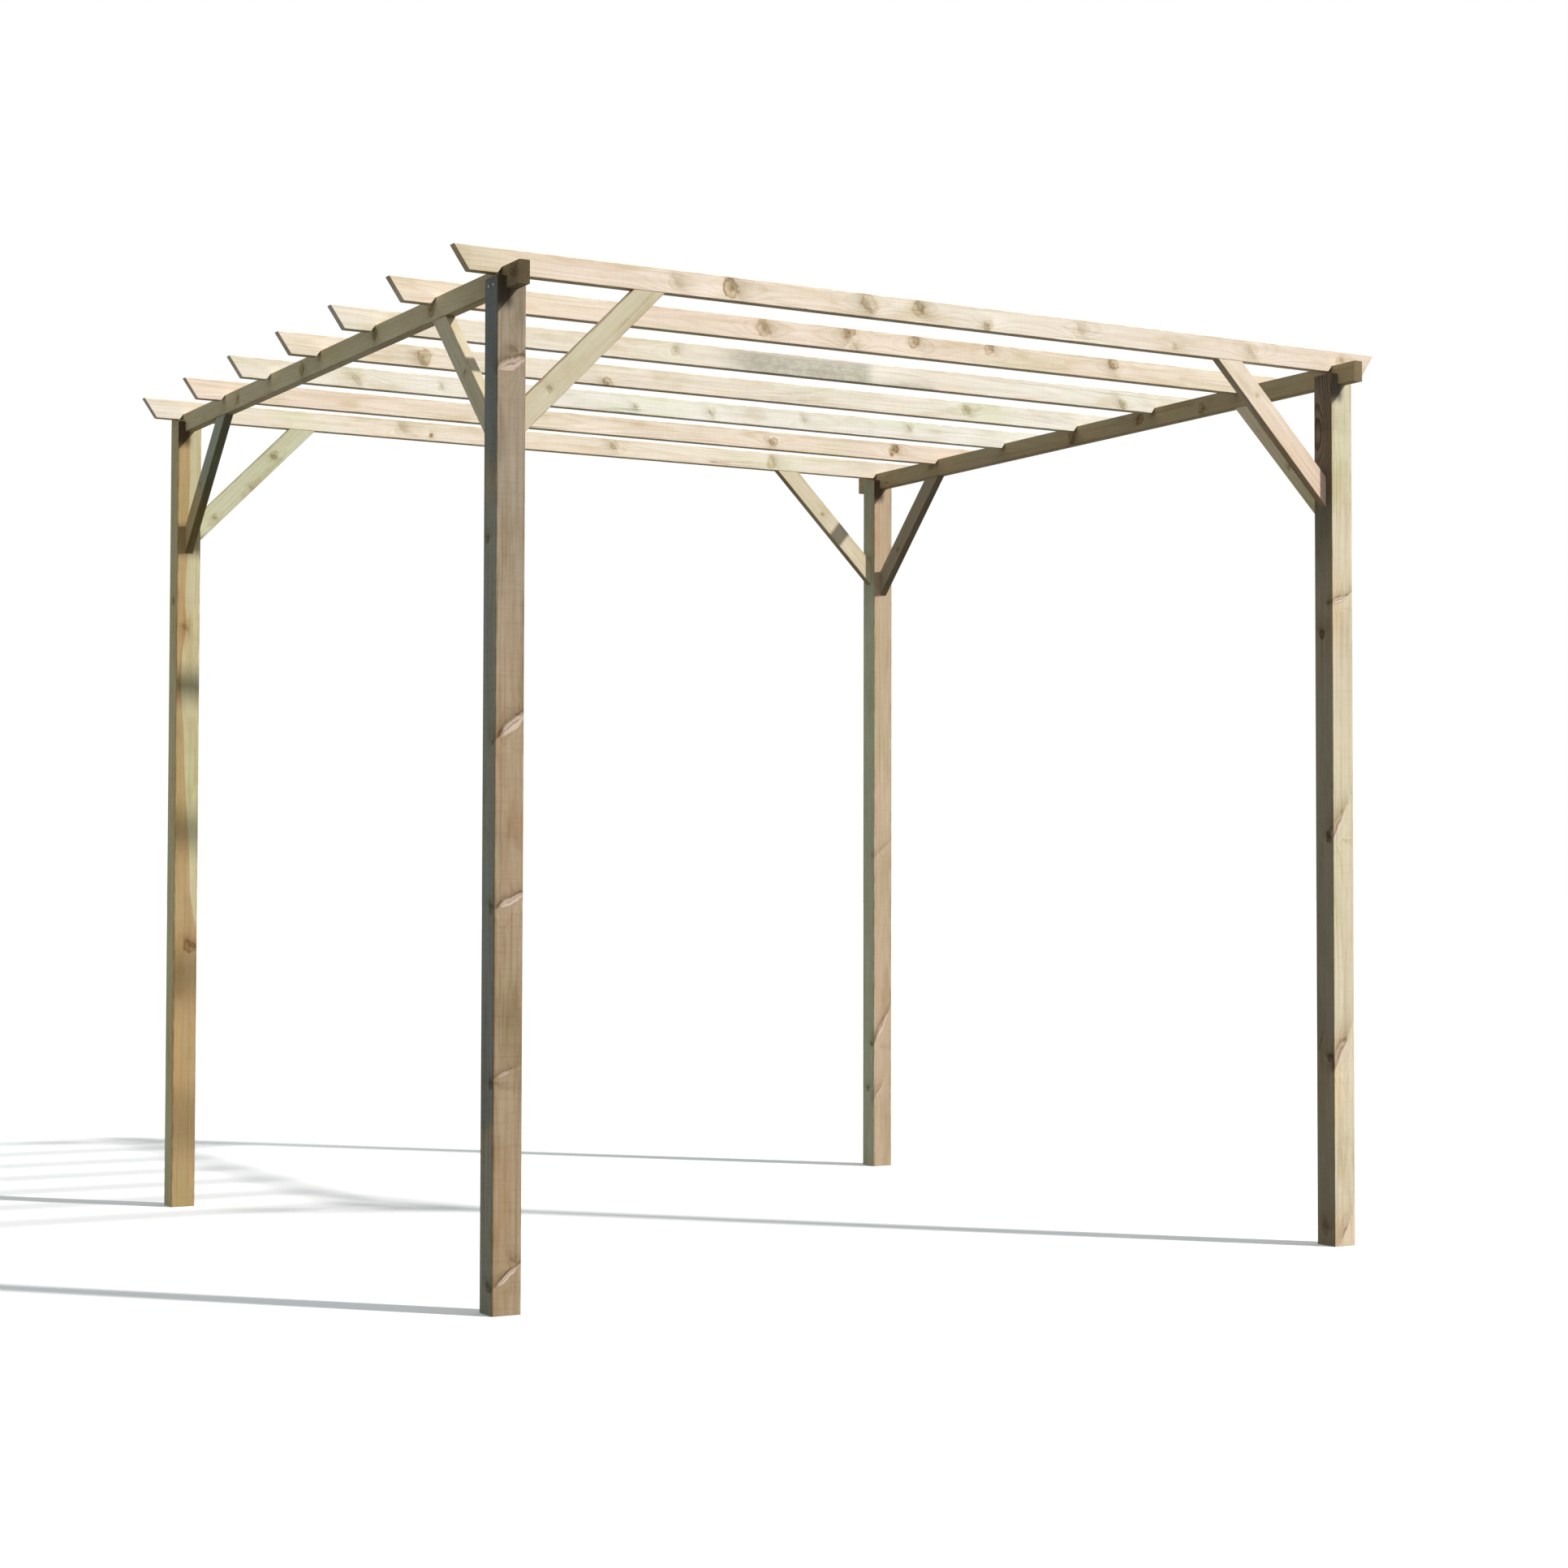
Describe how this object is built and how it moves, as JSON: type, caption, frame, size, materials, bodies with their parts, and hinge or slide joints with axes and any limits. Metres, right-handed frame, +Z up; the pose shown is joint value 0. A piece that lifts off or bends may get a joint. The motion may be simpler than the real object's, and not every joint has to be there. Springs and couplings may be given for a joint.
{
  "type": "wooden garden pergola",
  "caption": "Open timber pergola: forked posts carry side beams, and notched rafters with slanted ends lie across them, stiffened by short corner braces.",
  "frame": {"origin": "on the ground, in the middle of the four posts, which is the bottom centre of the whole", "axes": "+Z up, +X along the rafters to the right as seen from the front, +Y along the side beams to the back"},
  "size_m": [2.66, 2.512, 2.366],
  "materials": {
    "post_timber": "planed softwood, weathered, matt",
    "beam_timber": "planed softwood, weathered, matt",
    "rafter_timber": "planed softwood, pale, matt",
    "brace_timber": "planed softwood, matt"
  },
  "bodies": {
    "root": {"beam_brace_back_left": "brace_timber", "beam_brace_back_right": "brace_timber", "beam_brace_front_left": "brace_timber", "beam_brace_front_right": "brace_timber", "beam_left": "beam_timber", "beam_right": "beam_timber", "post_back_left": "post_timber", "post_back_right": "post_timber", "post_front_left": "post_timber", "post_front_right": "post_timber", "rafter_1": "rafter_timber", "rafter_2": "rafter_timber", "rafter_3": "rafter_timber", "rafter_4": "rafter_timber", "rafter_5": "rafter_timber", "rafter_6": "rafter_timber", "rafter_7": "rafter_timber", "rafter_brace_back_left": "brace_timber", "rafter_brace_back_right": "brace_timber", "rafter_brace_front_left": "brace_timber", "rafter_brace_front_right": "brace_timber"}
  },
  "joints": []
}
